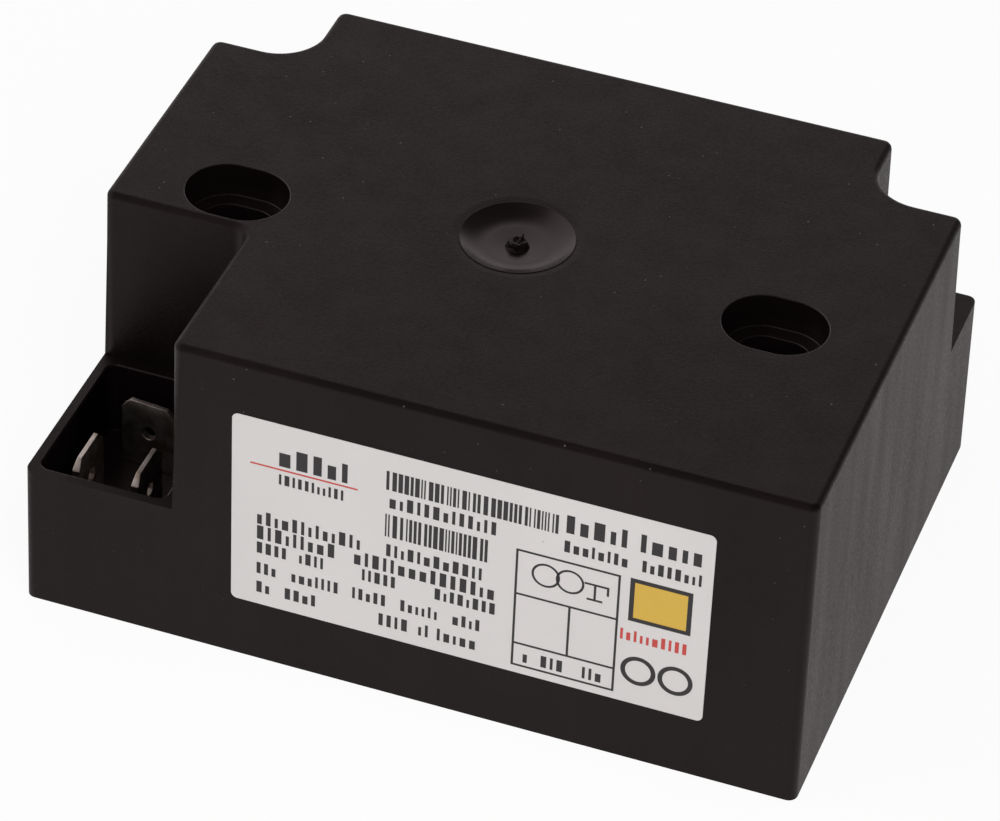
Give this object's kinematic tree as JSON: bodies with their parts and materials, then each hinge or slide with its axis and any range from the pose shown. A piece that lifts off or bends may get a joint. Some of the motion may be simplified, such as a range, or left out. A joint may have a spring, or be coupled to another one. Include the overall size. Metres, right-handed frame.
{
  "type": "ignition transformer",
  "caption": "Potted electronic ignition transformer: black moulded case with a blade terminal bay, corner plug pins, slotted screw holes and a white label.",
  "frame": {"origin": "middle of the footprint on the mounting plane", "axes": "+X along the label face from the blade bay, +Y from the label face to the back, +Z away from the mounting plane"},
  "size_m": [0.084, 0.0616, 0.0379],
  "materials": {
    "case_black": "fine-grained matte moulding",
    "resin": "level poured resin, satin",
    "label_film": "printed white film",
    "tinned_blade": "dull tin plate",
    "pin_brass": "nickelled brass",
    "laminate": "glass laminate with green mask",
    "ferrite": "ground ferrite",
    "shim": "polyester sheet",
    "bobbin_plastic": "natural nylon",
    "winding": "enamelled copper wire",
    "hv_insulation": "silicone sleeve",
    "tinned_wire": "tinned copper",
    "film_capacitor": "moulded box",
    "varistor_coating": "epoxy dip",
    "resistor_cement": "flameproof coating",
    "epoxy_black": "moulded package"
  },
  "bodies": {
    "root": {"housing": "case_black", "potting_resin": "resin", "rating_label": "label_film", "line_terminal": "tinned_blade", "neutral_terminal": "tinned_blade", "earth_terminal": "tinned_blade", "left_hv_pin": "pin_brass", "right_hv_pin": "pin_brass", "circuit_board": "laminate", "left_core_half": "ferrite", "right_core_half": "ferrite", "core_gap_shims": "shim", "primary_bobbin": "bobbin_plastic", "primary_winding": "winding", "left_secondary_bobbin": "bobbin_plastic", "left_secondary_winding": "winding", "right_secondary_bobbin": "bobbin_plastic", "right_secondary_winding": "winding", "left_hv_lead": "hv_insulation", "right_hv_lead": "hv_insulation", "earth_lead": "tinned_wire", "bulk_capacitor": "film_capacitor", "resonance_capacitor": "film_capacitor", "varistor": "varistor_coating", "fuse_resistor": "resistor_cement", "bridge_rectifier": "epoxy_black", "switching_transistor": "epoxy_black"}
  },
  "joints": []
}
